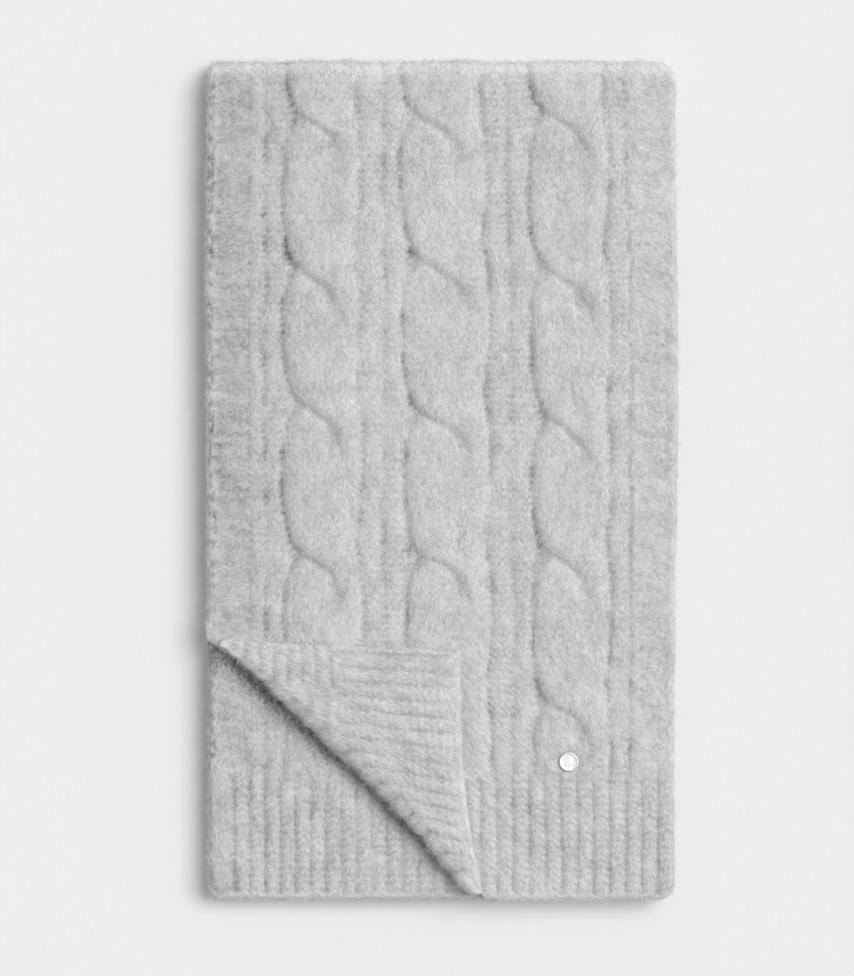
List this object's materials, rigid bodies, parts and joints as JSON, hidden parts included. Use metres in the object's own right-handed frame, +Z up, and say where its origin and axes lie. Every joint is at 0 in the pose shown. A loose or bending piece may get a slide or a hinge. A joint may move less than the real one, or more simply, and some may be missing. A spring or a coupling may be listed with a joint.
{
  "type": "folded knit scarf",
  "caption": "Cable-knit scarf folded flat in layers, with ribbed ends, a turned-back corner and a small round metal stud.",
  "frame": {"origin": "on the surface the scarf lies on, under the middle of the folded scarf's bounding box", "axes": "+X from the left selvedge to the right one, +Y from the ribbed hems to the top fold, +Z up"},
  "size_m": [0.2974, 0.5286, 0.0326],
  "materials": {
    "knit": "light heather grey knit, brushed to a soft pile",
    "stud": "polished, slightly dished"
  },
  "bodies": {
    "root": {"front_stretch": "knit", "front_hem": "knit", "turned_corner": "knit", "second_stretch": "knit", "second_hem": "knit", "folded_layers": "knit", "stud": "stud"}
  },
  "joints": []
}
